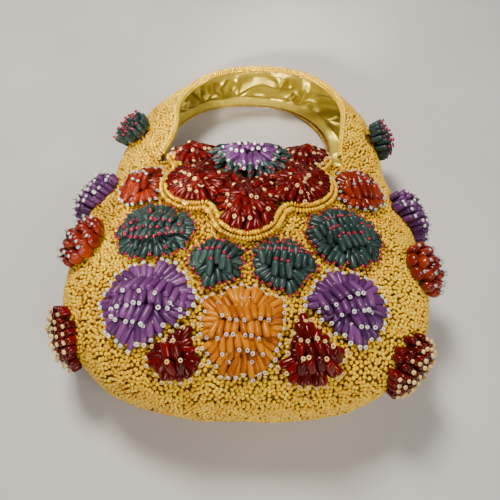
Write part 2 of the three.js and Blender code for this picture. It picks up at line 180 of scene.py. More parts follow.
def node_mesh(name):
    """Welded points and triangles of a CAD node."""
    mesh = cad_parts[name].data
    mesh.calc_loop_triangles()
    points = np.empty(len(mesh.vertices) * 3)
    mesh.vertices.foreach_get("co", points)
    points = points.reshape(-1, 3)
    tris = np.empty(len(mesh.loop_triangles) * 3, dtype=np.int32)
    mesh.loop_triangles.foreach_get("vertices", tris)
    return weld(points, tris.reshape(-1, 3))


def merged(points):
    """Which points stay when those that coincide are made one, and what each point becomes."""
    keys = np.round(points / SAME_POINT).astype(np.int64)
    _, first, inverse = np.unique(keys, axis=0, return_index=True, return_inverse=True)
    return first, inverse.reshape(-1)


def weld(points, faces):
    """The same mesh with points that coincide made one, and faces that vanish left out."""
    first, becomes = merged(points)
    faces = becomes[faces]
    whole = (faces[:, 0] != faces[:, 1]) & (faces[:, 1] != faces[:, 2]) & (faces[:, 0] != faces[:, 2])
    return points[first], faces[whole]


def facet_areas(points, tris):
    """A vector square to each triangle, twice as long as its area."""
    corner = points[tris]
    return np.cross(corner[:, 1] - corner[:, 0], corner[:, 2] - corner[:, 0])


def point_normals(points, tris, areas):
    """The mean direction of the triangles at each point."""
    total = np.zeros_like(points)
    for k in range(3):
        np.add.at(total, tris[:, k], areas)
    return unit(total)


def tri_edges(tri):
    """The three edges of a triangle, each a pair of points."""
    a, b, c = map(int, tri)
    return (a, b), (b, c), (c, a)


def search_tree(points, faces):
    """A tree for ray casts and nearest points."""
    return BVHTree.FromPolygons([Vector(p) for p in points], [tuple(map(int, f)) for f in faces])


class Skin:
    """One side of a CAD wall: its triangles, with a smooth normal at each point."""

    def __init__(self, name, middle, inward=False):
        points, tris = node_mesh(name)
        areas = facet_areas(points, tris)
        facing = unit(areas)
        away = (unit(points[tris].mean(axis=1) - middle) * facing).sum(axis=1)
        start = int(np.argmin(away)) if inward else int(np.argmax(away))
        keep = self.spread(tris, facing, start)
        used = np.unique(tris[keep])
        place = np.zeros(len(points), dtype=np.int32)
        place[used] = np.arange(len(used))
        self.points = points[used]
        self.tris = place[tris[keep]]
        self.area = np.linalg.norm(areas[keep], axis=1) / 2
        self.normals = point_normals(self.points, self.tris, areas[keep])

    @staticmethod
    def spread(tris, facing, start):
        """The triangles reached from one without crossing a sharp edge."""
        beside = {}
        for t, tri in enumerate(tris):
            for edge in tri_edges(tri):
                beside.setdefault(frozenset(edge), []).append(t)
        seen = {start}
        queue = [start]
        while queue:
            t = queue.pop()
            for edge in tri_edges(tris[t]):
                for other in beside[frozenset(edge)]:
                    if other not in seen and np.dot(facing[t], facing[other]) > SHARP_EDGE:
                        seen.add(other)
                        queue.append(other)
        return np.array(sorted(seen))

    def rounded(self, tri, share):
        """Points in the triangles with the facets rounded off, and their normals."""
        corner = self.points[self.tris[tri]]
        normal = self.normals[self.tris[tri]]
        flat = (share[:, :, None] * corner).sum(axis=1)
        lift = ((flat[:, None] - corner) * normal).sum(axis=2)
        pulled = flat[:, None] - lift[:, :, None] * normal
        smooth = (share[:, :, None] * pulled).sum(axis=1)
        return flat + FACET_BULGE * (smooth - flat), unit((share[:, :, None] * normal).sum(axis=1))

    def refined(self, parts):
        """A finer welded mesh of the rounded skin: points, normals and triangles."""
        steps = [(i, j) for i in range(parts + 1) for j in range(parts + 1 - i)]
        index = {step: k for k, step in enumerate(steps)}
        spots = np.array([(parts - i - j, i, j) for i, j in steps]) / parts
        small = []
        for i, j in steps:
            if i + j < parts:
                small.append((index[i, j], index[i + 1, j], index[i, j + 1]))
            if i + j < parts - 1:
                small.append((index[i + 1, j], index[i + 1, j + 1], index[i, j + 1]))
        count = len(self.tris)
        tri = np.repeat(np.arange(count), len(spots))
        share = np.tile(spots, (count, 1))
        points, normals = self.rounded(tri, share)
        faces = (np.arange(count)[:, None, None] * len(spots) + np.array(small)[None]).reshape(-1, 3)
        first, becomes = merged(points)
        return points[first], normals[first], becomes[faces]

    def edge_loop(self):
        """The points round the skin's open edge in order, or the longest such loop."""
        edges = {edge for tri in self.tris for edge in tri_edges(tri)}
        following = {a: b for a, b in edges if (b, a) not in edges}
        loops = []
        left = set(following)
        while left:
            loop = [left.pop()]
            while following[loop[-1]] in left:
                loop.append(following[loop[-1]])
                left.discard(loop[-1])
            loops.append(loop)
        return np.array(max(loops, key=len))

    def tree(self):
        """A search tree over the rounded skin."""
        points, _, faces = self.refined(TREE_PARTS)
        return search_tree(points, faces)


def settled(points, normals):
    """Beaded cloth pressed in here and there, but not where it lies on the table."""
    wave = [noise.noise(Vector(p) * 30) + 0.5 * noise.noise(Vector(p) * 75) for p in points]
    press = PRESS * np.clip(0.55 + np.array(wave), 0, 1.6)
    press *= np.clip((points[:, 2] - PRESS_FROM) / PRESS_FADE, 0, 1)
    return points - normals * press[:, None]


# Mesh making


def make(name, points, faces, material, values=None):
    """A mesh piece from arrays, riding on the bag."""
    mesh = bpy.data.meshes.new(name)
    sides = faces.shape[1]
    mesh.vertices.add(len(points))
    mesh.vertices.foreach_set("co", np.ascontiguousarray(points, dtype=np.float32).ravel())
    mesh.loops.add(faces.size)
    mesh.loops.foreach_set("vertex_index", np.ascontiguousarray(faces, dtype=np.int32).ravel())
    mesh.polygons.add(len(faces))
    mesh.polygons.foreach_set("loop_start", np.arange(0, faces.size, sides, dtype=np.int32))
    mesh.polygons.foreach_set("use_smooth", np.full(len(faces), True))
    mesh.update(calc_edges=True)
    for key, value in (values or {}).items():
        layer = mesh.attributes.new(key, "FLOAT", "POINT")
        layer.data.foreach_set("value", np.ascontiguousarray(value, dtype=np.float32))
    mesh.materials.append(material)
    piece = bpy.data.objects.new(name, mesh)
    bpy.context.scene.collection.objects.link(piece)
    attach(piece, "root")
    return piece


def turned(profile, sides, closed=False):
    """A bead turned about Z from (height, radius) pairs, a closed profile for a ring: points and quads."""
    ring = len(profile)
    turn = np.arange(sides) * 2 * math.pi / sides
    points = [(r * math.cos(a), r * math.sin(a), h) for h, r in profile for a in turn]
    quads = []
    for k in range(ring if closed else ring - 1):
        above = (k + 1) % ring
        for s in range(sides):
            n = (s + 1) % sides
            quads.append((k * sides + s, k * sides + n, above * sides + n, above * sides + s))
    return np.array(points), np.array(quads)


SEED = turned([(-0.5, 0.46), (-0.21, 1.0), (0.21, 1.0), (0.5, 0.46)], 6)
PLAIN_SEED = turned([(-0.5, 0.7), (0.0, 1.05), (0.5, 0.7)], 6)
OBLONG = turned([(0.0, 0.2), (0.03, 0.64), (0.1, 0.9), (0.26, 1.0), (0.74, 1.0), (0.9, 0.9), (0.97, 0.64),
                 (1.0, 0.2)], 8)
OVAL = turned([(0.5 - 0.5 * math.cos(a), max(math.sin(a), 0.08)) for a in np.linspace(0, math.pi, 9)], 10)
TIP_SIDES = 8
TIP = turned([(0.0, 0.34), (0.4, 0.4), (0.5, 0.7), (0.26, 0.97), (-0.26, 0.97), (-0.5, 0.7), (-0.4, 0.4)],
             TIP_SIDES, closed=True)
TIP_SHADE = [0.0, 0.35, 1, 1, 1, 1, 0.35]  # painted shade of each ring of a tip bead's profile, dark in the hole


def strewn(bead, places, side, across, along, width, length, flat=1.0):
    """Copies of a bead: places, three axes each, and a radius and length each. Faces are triangles."""
    shape, quads = bead
    sized = shape[None] * np.stack([width, width * flat, length], axis=1)[:, None, :]
    axes = np.stack([side, across, along], axis=1)
    points = places[:, None, :] + np.einsum("nmk,nkd->nmd", sized, axes)
    faces = quads[None] + (np.arange(len(places)) * len(shape))[:, None, None]
    faces = faces.reshape(-1, 4)
    return points.reshape(-1, 3), np.concatenate([faces[:, [0, 1, 2]], faces[:, [0, 2, 3]]])


def shaded(tint, points, places, ups, width, depth):
    """The tint of each bead at its points, darker below, where little light comes between beads."""
    each = points.reshape(len(places), -1, 3) - places[:, None, :]
    height = np.einsum("nmd,nd->nm", each, ups) / width[:, None]
    return np.clip(tint[:, None] + depth * np.minimum(height - 0.3, 0), 0, 1).reshape(-1)


# Materials


def material(name):
    """A new material, its node tree and its shader."""
    made = bpy.data.materials.new(name)
    made.use_nodes = True
    tree = made.node_tree
    return made, tree, tree.nodes["Principled BSDF"]


def colour_by(tree, shader, value, stops):
    """Base colours along a value between nought and one."""
    node = tree.nodes.new("ShaderNodeValToRGB")
    band = node.color_ramp
    while len(band.elements) < len(stops):
        band.elements.new(0.5)
    for element, (place, colour) in zip(band.elements, stops):
        element.position = place
        element.color = (*colour, 1)
    tree.links.new(value, node.inputs["Fac"])
    tree.links.new(node.outputs["Color"], shader.inputs["Base Color"])


def speckle(tree, scale, detail=2.0):
    """Noise in the object's own coordinates."""
    place = tree.nodes.new("ShaderNodeTexCoord")
    grain = tree.nodes.new("ShaderNodeTexNoise")
    grain.inputs["Scale"].default_value = scale
    grain.inputs["Detail"].default_value = detail
    tree.links.new(place.outputs["Object"], grain.inputs["Vector"])
    return grain.outputs["Fac"]


def number(tree, operation, a, b):
    """A sum on two values, each a number or a socket."""
    node = tree.nodes.new("ShaderNodeMath")
    node.operation = operation
    for socket, value in zip(node.inputs, (a, b)):
        if isinstance(value, (int, float)):
            socket.default_value = value
        else:
            tree.links.new(value, socket)
    return node.outputs["Value"]


def blend(tree, first, share, second, other_share):
    """Two values added, each times its share."""
    return number(tree, "ADD", number(tree, "MULTIPLY", first, share),
                  number(tree, "MULTIPLY", second, other_share))


def attribute(tree, name):
    """A value stored at the points of the mesh."""
    node = tree.nodes.new("ShaderNodeAttribute")
    node.attribute_name = name
    return node.outputs["Fac"]


def threads(tree, scale, distortion, direction="X"):
    """Fine side by side threads in the object's own coordinates."""
    wave = tree.nodes.new("ShaderNodeTexWave")
    wave.bands_direction = direction
    wave.inputs["Scale"].default_value = scale
    wave.inputs["Distortion"].default_value = distortion
    place = tree.nodes.new("ShaderNodeTexCoord")
    tree.links.new(place.outputs["Object"], wave.inputs["Vector"])
    return wave.outputs["Fac"]


def uneven_gloss(tree, shader, scale, least, spread):
    """Roughness that varies from a least value upwards."""
    value = number(tree, "ADD", number(tree, "MULTIPLY", speckle(tree, scale), spread), least)
    tree.links.new(value, shader.inputs["Roughness"])


def bump(tree, shader, value, height):
    """Relief from a value, in metres."""
    node = tree.nodes.new("ShaderNodeBump")
    node.inputs["Distance"].default_value = height
    tree.links.new(value, node.inputs["Height"])
    tree.links.new(node.outputs["Normal"], shader.inputs["Normal"])


STREAKS = 0.2  # share of the streaks in the colour of a bead
STOPS = (0.0, 0.3, 0.6, 0.95)  # places of the colours between the painted shade of the undersides and the brightest beads
TIP_STOPS = (0.0, 0.3, 0.9)


def bead_glass(name, rough, colours, stops=STOPS, coat=0.1, gloss=0.35, sheen=(1, 1, 1)):
    """Glass beads: a colour of its own for each bead with painted shade carried in its tint, streaks and a
    slightly uneven gloss.
    """
    made, tree, shader = material(name)
    mixed = blend(tree, attribute(tree, "tint"), 1 - STREAKS, speckle(tree, 900, 3), STREAKS)
    colour_by(tree, shader, mixed, list(zip(stops, colours)))
    uneven_gloss(tree, shader, 500, rough - 0.08, 0.16)
    shader.inputs["Coat Weight"].default_value = coat
    shader.inputs["Coat Roughness"].default_value = 0.12
    shader.inputs["Specular IOR Level"].default_value = gloss
    shader.inputs["Specular Tint"].default_value = (*sheen, 1)
    shader.inputs["Coat Tint"].default_value = (*sheen, 1)
    bump(tree, shader, speckle(tree, 1400, 2), 0.05 * MM)
    return made


def cloth(name, light, dark, rough, sheen, thread):
    """Woven cloth: two crossed sets of threads, with lighter and darker patches."""
    made, tree, shader = material(name)
    colour_by(tree, shader, speckle(tree, 60, 4), [(0.3, dark), (0.7, light)])
    crossed = [threads(tree, thread, 0.6, direction) for direction in ("X", "Y")]
    bump(tree, shader, number(tree, "MULTIPLY", *crossed), 0.12 * MM)
    uneven_gloss(tree, shader, 200, rough - 0.1, 0.2)
    shader.inputs["Sheen Weight"].default_value = sheen
    return made


GLASS = {
    "yellow": bead_glass("yellow_glass", 0.13, [
        (0.12, 0.042, 0.0004), (0.70, 0.36, 0.002), (0.97, 0.60, 0.008), (0.98, 0.79, 0.03)],
        stops=(0.0, 0.3, 0.55, 0.9), coat=0.45, gloss=0.6, sheen=(1.0, 0.82, 0.35)),
    "purple": bead_glass("purple_glass", 0.33, [
        (0.012, 0.002, 0.016), (0.06, 0.016, 0.075), (0.115, 0.026, 0.125), (0.21, 0.07, 0.22)],
        gloss=0.28),
    "green": bead_glass("green_glass", 0.36, [
        (0.003, 0.006, 0.005), (0.009, 0.021, 0.018), (0.019, 0.044, 0.038), (0.042, 0.077, 0.064)],
        gloss=0.28),
    "orange": bead_glass("orange_glass", 0.3, [
        (0.12, 0.018, 0.0002), (0.31, 0.07, 0.0002), (0.50, 0.14, 0.0003), (0.68, 0.25, 0.0015)],
        sheen=(1.0, 0.75, 0.4)),
    "coral": bead_glass("coral_glass", 0.2, [
        (0.06, 0.001, 0.0003), (0.14, 0.005, 0.0007), (0.22, 0.013, 0.0014), (0.33, 0.033, 0.004)],
        coat=0.2, gloss=0.3),
    "dark_red": bead_glass("dark_red_glass", 0.16, [
        (0.015, 0.0002, 0.0002), (0.06, 0.0006, 0.0004), (0.10, 0.001, 0.0007), (0.18, 0.003, 0.0015)],
        sheen=(1.0, 0.6, 0.5)),
    "red": bead_glass("red_glass", 0.27, [
        (0.012, 0.0002, 0.0002), (0.05, 0.0005, 0.0003), (0.09, 0.001, 0.0006), (0.155, 0.003, 0.0015)],
        gloss=0.3, sheen=(1.0, 0.5, 0.4)),
}
TIP_GLASS = {
    "purple": bead_glass("white_tips", 0.22, [
        (0.05, 0.045, 0.05), (0.72, 0.69, 0.64), (0.93, 0.90, 0.84)], TIP_STOPS),
    "green": bead_glass("crimson_tips", 0.2, [
        (0.03, 0.001, 0.003), (0.32, 0.008, 0.03), (0.52, 0.03, 0.075)], TIP_STOPS),
    "orange": bead_glass("rose_tips", 0.22, [
        (0.06, 0.04, 0.035), (0.72, 0.50, 0.44), (0.92, 0.74, 0.68)], TIP_STOPS),
    "coral": bead_glass("silver_tips", 0.16, [
        (0.03, 0.035, 0.04), (0.36, 0.42, 0.44), (0.62, 0.70, 0.70)], TIP_STOPS),
    "dark_red": bead_glass("cream_tips", 0.22, [
        (0.06, 0.02, 0.004), (0.80, 0.46, 0.13), (0.98, 0.70, 0.28)], TIP_STOPS),
}
TIP_GLASS["red"] = TIP_GLASS["dark_red"]
# Cloth under the beads, coloured dark brown as painted shade in the gaps between the seed beads
SHADED_GROUND = cloth("bead_ground_cloth_gap_shade", (0.30, 0.14, 0.004), (0.18, 0.075, 0.002), 0.8, 0.0, 700)
# Dark pads in each flower's hue: painted shade that fills the gaps between its beads
SHADE_PAD_CLOTH = {
    kind: cloth(kind + "_shade_pad_cloth", light, tuple(0.4 * c for c in light), 0.85, 0.0, 900)
    for kind, light in (("purple", (0.03, 0.008, 0.035)), ("orange", (0.14, 0.03, 0.0004)),
                        ("green", (0.008, 0.02, 0.017)), ("coral", (0.10, 0.006, 0.001)),
                        ("dark_red", (0.03, 0.0008, 0.0006)), ("red", (0.04, 0.001, 0.0008)))
}
# Satin inside the bag: the lining's olive gold, darkened as painted shade of the bag's inside
SHADED_INSIDE = cloth("inside_satin", (0.16, 0.115, 0.028), (0.07, 0.05, 0.012), 0.45, 0.3, 1500)


# Cloth shells under the beads

body = Skin("body", np.array([0, -60, 36]) * MM)
handle = Skin("handle", ARCH_MIDDLE)
flap = Skin("flap", np.array([0, 10, -40]) * MM)
for name, skin, node in (("pouch_cloth", body, "body"), ("handle_cloth", handle, "handle"),
                         ("flap_cloth", flap, "flap")):
    points, normals, faces = skin.refined(SHELL_PARTS)
    points = settled(points, normals) - normals * CLOTH_DEPTH
    shell = make(name, points, faces, SHADED_GROUND)
    shell.data.materials.append(SHADED_INSIDE)
    wall = shell.modifiers.new("wall", "SOLIDIFY")
    wall.thickness = CLOTH_WALL if node != "flap" else FLAP_WALL
    wall.offset = -1
    wall.material_offset = 1
    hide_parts(node)

body_tree = body.tree()
handle_tree = handle.tree()
flap_tree = flap.tree()


# Bead flowers


def disc_axis(node):
    """The axis of a flat round solid, pointing away from the bag."""
    points, tris = node_mesh(node)
    weight = np.linalg.norm(facet_areas(points, tris), axis=1)
    centres = points[tris].mean(axis=1)
    middle = np.average(centres, axis=0, weights=weight)
    off = centres - middle
    _, axes = np.linalg.eigh((off * weight[:, None]).T @ off)
    return axes[:, 0] * np.sign(axes[:, 0] @ (middle - (0, 0, 20 * MM)))


def nearest_of(trees, point):
    """The nearest place on several surfaces, and the normal there."""
    found = min((tree.find_nearest(Vector(point)) for tree in trees), key=lambda f: f[3])
    return np.array(found[0]), np.array(found[1])


class Bloom:
    """Where a flower sits: its middle on its carrier, its axis, and how far it reaches all round."""

    def __init__(self, node, trees, axis=None, root=None):
        points, tris = node_mesh(node)
        middle = points.mean(axis=0)
        self.trees = trees
        if axis is None:
            areas = facet_areas(points, tris)
            axis = nearest_of(trees, middle)[1]
            for _ in range(3):
                out = areas[(unit(areas) @ axis) > 0.3]
                axis = unit(out.sum(axis=0))
        self.axis = axis
        self.right = unit(np.cross((0.0, 1.0, 0.0), axis))
        self.up = np.cross(axis, self.right)
        start = middle if root is None else root
        under = self.height_at(start, start)
        if under is None:
            under = float((nearest_of(trees, start)[0] - start) @ axis)
        self.centre = start + axis * under
        reach, angle, level = self.polar(points)
        self.angles = np.linspace(-math.pi, math.pi, REACH_STEPS)
        off = np.abs((angle[None] - self.angles[:, None] + math.pi) % (2 * math.pi) - math.pi)
        window = OUTLINE_WINDOW if root is None else RING_WINDOW
        self.reach = np.where(off < window, reach[None], 0).max(axis=1)
        self.top = level.max()

    def polar(self, points):
        """Distance of points from the axis, their angle round it and their height along it."""
        flat = points - self.centre
        right = flat @ self.right
        up = flat @ self.up
        return np.hypot(right, up), np.arctan2(up, right), flat @ self.axis

    def height_at(self, spot, origin):
        """Height of the carrier over the origin along the axis, or None past its edge."""
        best = None
        for tree in self.trees:
            start = Vector(spot + self.axis * RAY_START)
            hit = tree.ray_cast(start, Vector(-self.axis), RAY_LENGTH)[0]
            if hit is not None:
                height = float((np.array(hit) - origin) @ self.axis)
                best = height if best is None else max(best, height)
        return best

    def reach_at(self, turn):
        """How far the flower reaches at an angle."""
        wrapped = (turn + math.pi) % (2 * math.pi) - math.pi
        return np.interp(wrapped, self.angles, self.reach)

    def outward(self, turn):
        """The direction away from the axis at an angle."""
        return self.right * math.cos(turn) + self.up * math.sin(turn)

    def spot(self, turn, radius, height):
        """A point at a height over the carrier."""
        out = self.outward(turn)
        r = radius
        for _ in range(12):
            found = self.height_at(self.centre + out * r, self.centre)
            if found is not None and found > -EDGE_DROP - FALL * r:
                break
            r *= 0.9
        else:
            found = 0.0
        return self.centre + out * radius + self.axis * (found - FALL * (radius - r) + height)

    def covers(self, points, share):
        """Which points lie under the flower, out to a share of its reach."""
        reach, angle, level = self.polar(points)
        return (reach < share * np.interp(angle, self.angles, self.reach)) & (np.abs(level) < BLOOM_DEPTH)


class Stalks:
    """Oblong beads of one flower: where each begins and ends."""

    def __init__(self, bloom, kind, sizes=None, scale=1.0):
        self.bloom = bloom
        self.kind = kind
        size = STALKS[sizes or kind]
        self.flat = size.get("flat", 1.0)
        self.length = size["length"] * scale * MM
        self.radius = size["radius"] * scale * MM
        self.tip = size["tip"] * scale * MM
        self.bases = []
        self.ends = []
        self.looks = []  # which way the outer side of each stalk looks, the side that the painted shade leaves light
        self.lengths = []
        self.tipped = []

    def add(self, end, base, tipped):
        """A lying stalk, its end and base each an angle, a distance and a height."""
        self.ends.append(self.bloom.spot(*end))
        self.bases.append(self.bloom.spot(*base))
        self.looks.append(self.bloom.axis)
        self.lengths.append(self.length)
        self.tipped.append(tipped)

    def ring(self, drawn_in=0.0, lift=0.0, reach=1.03, pitch=RING_PITCH, tips=1.0):
        """Stalks side by side round the outline, lying outwards, every other one a little higher."""
        grid = np.linspace(0, 2 * math.pi, 181)
        out = self.bloom.reach_at(grid) * reach - drawn_in - RING_PATH * self.length
        out = np.maximum(out, self.radius)
        walk = np.concatenate([[0], np.cumsum((out[1:] + out[:-1]) / 2 * np.diff(grid))])
        count = 2 * max(2, int(round(walk[-1] / (pitch * self.radius) / 2)))
        places = (np.arange(count) + rng.uniform(-0.15, 0.15, count)) / count * walk[-1]
        for k, turn in enumerate(np.interp(places, walk, grid)):
            odd = k % 2
            far = self.bloom.reach_at(turn) * reach - drawn_in - TIP_ROOM * self.tip
            far -= (ODD_BACK * odd + abs(rng.normal(0, 0.05))) * self.length
            if far < 0.5 * self.length:
                continue
            level = self.radius * (1.0 + ODD_HIGH * odd) + lift + rng.normal(0, 0.2) * MM
            root = max(far - 0.97 * self.length, 0.4 * MM)
            base = (turn + rng.normal(0, 0.06), root, level + BASE_HIGH)
            self.add((turn, far, level), base, rng.random() < tips)

    def tuft(self, node):
        """Stalks standing side by side all over the flower, up to its solid's top."""
        points, tris = node_mesh(node)
        solid = search_tree(points, tris)
        axis = self.bloom.axis
        pitch = TUFT_PITCH * self.radius * self.flat
        for circle in range(int(self.bloom.reach.max() / pitch) + 1):
            count = max(1, round(2 * math.pi * circle * self.flat))
            for k in range(count):
                turn = (k + 0.5 * (circle % 2) + rng.uniform(-0.15, 0.15)) / count * 2 * math.pi
                far = (circle + rng.normal(0, 0.08)) * pitch
                room = self.bloom.reach_at(turn) - self.radius * self.flat
                if far > room + 0.45 * pitch:
                    continue
                far = min(far, room)
                out = self.bloom.outward(turn)
                above = self.bloom.centre + out * TUFT_DRAWN * far + axis * TUFT_RAY_START
                hit = solid.ray_cast(Vector(above), Vector(-axis), TUFT_RAY_LENGTH)[0]
                if hit is None:
                    continue
                base = self.bloom.spot(turn, TUFT_DRAWN * far, -0.5 * MM)
                tall = (np.array(hit) - base) @ axis - self.tip
                base = base + axis * max(tall - self.length, 0)
                length = min(max(tall + 0.3 * MM, 0.62 * self.length), self.length)
                lean = math.radians(3 + 12 * far / room + rng.normal(0, 3))
                self.bases.append(base)
                self.ends.append(base + (axis * math.cos(lean) + out * math.sin(lean)) * length)
                self.looks.append(unit(out + rng.normal(0, 0.25, 3)))
                self.lengths.append(length)
                self.tipped.append(rng.random() < TUFT_TIPPED)

    def rows(self, heading, drawn_in, lift=0.0, reach=1.03, tips=0.85):
        """Curved rows of stalks over the middle, lying much the same way, a share of them with tips."""
        wide = max(float(self.bloom.reach.mean()) * reach - drawn_in, 0.45 * self.length)
        step = ROWS_STEP * self.length
        pitch = ROWS_PITCH * self.radius
        dome = min(max((self.bloom.top - lift - self.radius) / (3.7 * self.radius), 0.6), 1.1)
        rows = int(self.bloom.reach.max() / step) + 1
        beads = int(self.bloom.reach.max() / pitch) + 1
        for row in range(-rows, rows + 1):
            middle = row * step + rng.uniform(-0.12, 0.12) * self.length
            sway = rng.uniform(-0.3, 0.3)
            arch = rng.uniform(0.1, 0.4) * rng.choice([-1, 1])
            shift = rng.uniform(-0.5, 0.5)
            for bead in range(-beads, beads + 1):
                across = (bead + shift) * pitch + rng.normal(0, 0.15) * MM
                spot = np.array([middle + arch * across**2 / wide, across])
                spot[0] += rng.normal(0, 0.06) * self.length
                turn = math.atan2(spot[1], spot[0])
                room = self.bloom.reach_at(heading + turn) * reach - drawn_in
                if np.hypot(*spot) > room - 0.36 * self.length * abs(math.cos(turn)):
                    continue
                lean = sway + 1.2 * arch * across / wide + rng.normal(0, 0.1)
                line = np.array([math.cos(lean), math.sin(lean)]) * self.length / 2
                ends = []
                for place, rise in ((spot + line, 0.65), (spot - line, -0.75)):
                    far = float(np.hypot(*place))
                    crown = 1.5 * max(1 - (far / wide) ** 2, -0.5)
                    level = self.radius * (2.2 + crown + rise) * dome + lift
                    ends.append((heading + math.atan2(place[1], place[0]), far, level))
                self.add(*ends, rng.random() < tips)

    def finish(self, node, sunk=PAD_SUNK):
        """Makes two pieces: the oblong beads on a sunken dark pad of cloth, painted shade for the gaps
        between them, and the beads on their ends.
        """
        ends = np.array(self.ends)
        along = unit(ends - np.array(self.bases))
        count = len(ends)
        looks = np.array(self.looks)
        across = unit(looks - (along * looks).sum(axis=1, keepdims=True) * along)
        side = np.cross(across, along)
        wide = self.radius * rng.normal(1, 0.03, count)
        lengths = np.array(self.lengths)
        starts = ends - along * lengths[:, None]
        bead = OBLONG if self.flat == 1 else OVAL
        points, faces = strewn(bead, starts, side, across, along, wide, lengths, self.flat)
        # Each stalk's own tint, with painted shade on the side away from where it looks
        tint = shaded(rng.uniform(0.3, 0.95, count), points, starts, across, wide, STALK_SHADE)
        pad, pad_faces = node_mesh(node)
        heights = (pad - self.bloom.centre) @ self.bloom.axis
        level = self.bloom.centre + heights[:, None] * self.bloom.axis
        lowered = (sunk * (heights - heights.min()))[:, None]
        pad = level + PAD_WIDTH * (pad - level) - self.bloom.axis * lowered
        cloth_face = np.repeat(np.array([0, 1], dtype=np.int32), [len(faces), len(pad_faces)])
        faces = np.concatenate([faces, pad_faces + len(points)])
        points = np.concatenate([points, pad])
        tint = np.concatenate([tint, np.full(len(pad), 0.02)])
        stalks = make(node + "_stalks", points, faces, GLASS[self.kind], values={"tint": tint})
        stalks.data.materials.append(SHADE_PAD_CLOTH[self.kind])
        stalks.data.polygons.foreach_set("material_index", cloth_face)
        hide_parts(node)
        chosen = np.array(self.tipped)
        ends, along, side = ends[chosen], along[chosen], side[chosen]
        count = len(ends)
        wide = self.tip * rng.normal(1, 0.06, count)
        facing = unit(0.5 * along + 0.8 * self.bloom.axis + rng.normal(0, 0.22, along.shape))
        side = unit(np.cross(facing, side))
        across = np.cross(facing, side)
        places = ends + along * (self.tip * 0.4) + facing * (self.tip * 0.55)
        points, faces = strewn(TIP, places, side, across, facing, wide, wide * 1.25)
        shade = np.repeat(rng.uniform(0.4, 1.0, count), len(TIP[0]))
        # Painted shade: the rings inside each tip bead's hole are coloured dark
        hole = np.tile(np.repeat(TIP_SHADE, TIP_SIDES), count)
        make(node + "_tips", points, faces, TIP_GLASS[self.kind], values={"tint": shade * hole})


blooms = []  # each with the share of its reach that is left without seed beads
for node in ["flower_" + n for n in FLOWERS] + ["side_" + n for n in SIDES]:
    kind = node
    for word in ("flower_", "side_", "small_", "_left", "_right"):
        kind = kind.replace(word, "")
    on_side = node.startswith("side_")
    bloom = Bloom(node, [body_tree, handle_tree], axis=disc_axis(node) if on_side else None)
    blooms.append((bloom, SIDE_BARE if on_side else FRONT_BARE))
    if on_side:
        stalks = Stalks(bloom, kind, "side_coral" if kind == "coral" else None)
        stalks.tuft(node)
        stalks.finish(node, SIDE_PAD_SUNK)
        continue
    stalks = Stalks(bloom, kind)
    wider = 1.2 if kind == "coral" else 1.03
    stalks.ring(reach=wider)
    if bloom.reach.mean() > BIG_FLOWER:
        stalks.ring(drawn_in=0.75 * stalks.length, lift=0.5 * MM)
    drawn_in = (0.55 if bloom.reach.mean() < BROAD_FLOWER else 0.72) * stalks.length
    stalks.rows(rng.choice([-1, 1]) * math.pi / 2 + rng.uniform(-0.4, 0.4), drawn_in, reach=wider)
    stalks.finish(node)

middle = Bloom("flap_centre", [flap_tree])
ring = Bloom("flap_ring", [flap_tree], axis=middle.axis, root=middle.centre)
stalks = Stalks(ring, "green", scale=0.85)
stalks.ring(pitch=1.35, reach=1.08)
stalks.ring(drawn_in=2.4 * MM, lift=2.4 * MM, pitch=1.35)
stalks.finish("flap_ring")
stalks = Stalks(middle, "purple")
stalks.ring(lift=2.2 * MM)
stalks.rows(-math.pi / 2, 0.6 * stalks.length, lift=2.5 * MM)
stalks.finish("flap_centre")
for name in PETALS:
    node = "flap_petal_" + name
    petal = Bloom(node, [flap_tree])
    stalks = Stalks(petal, "red")
    outward = petal.centre - middle.centre
    heading = math.atan2(outward @ petal.up, outward @ petal.right)
    wider = {"front": 1.14, "left": 1.19, "right": 1.19}.get(name, 1.26)
    stalks.ring(reach=wider, tips=0.6 if name.startswith("back") else 0.08)
    stalks.ring(drawn_in=0.8 * stalks.length, lift=1.6 * MM, reach=wider, tips=0.85)
    stalks.rows(heading, 1.45 * stalks.length, lift=2.0 * MM, reach=wider, tips=0.85)
    stalks.finish(node)


# Yellow seed beads


class Field:
    """Places of the seed beads so far, in a grid of cells that hold one each."""

    def __init__(self, gap):
        self.gap = gap
        self.cell = gap / math.sqrt(3)
        self.low = np.array(cad_box[0]) - FIELD_MARGIN
        span = np.array(cad_box[1]) + FIELD_MARGIN - self.low
        self.grid = np.full((span / self.cell).astype(int) + 6, -1)
        self.points = np.zeros((FIELD_ROOM, 3))
        self.count = 0
        self.near = np.array([(i, j, k) for i in range(-2, 3) for j in range(-2, 3) for k in range(-2, 3)])

    def cells(self, points):
        """The grid cell of each point."""
        return ((points - self.low) / self.cell).astype(int) + 2

    def free(self, points):
        """Which points have no bead within the gap."""
        cells = self.cells(points)
        clear = np.ones(len(points), dtype=bool)
        for step in self.near:
            held = self.grid[tuple((cells + step).T)]
            far = ((self.points[held] - points) ** 2).sum(axis=1) >= self.gap**2
            clear &= (held < 0) | far
        return clear

    def place(self, point):
        """Puts a bead there if there is room, and says whether it did."""
        cell = self.cells(point)
        held = self.grid[tuple((cell + self.near).T)]
        held = held[held >= 0]
        if len(held) and ((self.points[held] - point) ** 2).sum(axis=1).min() < self.gap**2:
            return False
        self.hold(point)
        return True

    def hold(self, point):
        """Puts a bead there whatever is near."""
        self.points[self.count] = point
        self.grid[tuple(self.cells(point))] = self.count
        self.count += 1


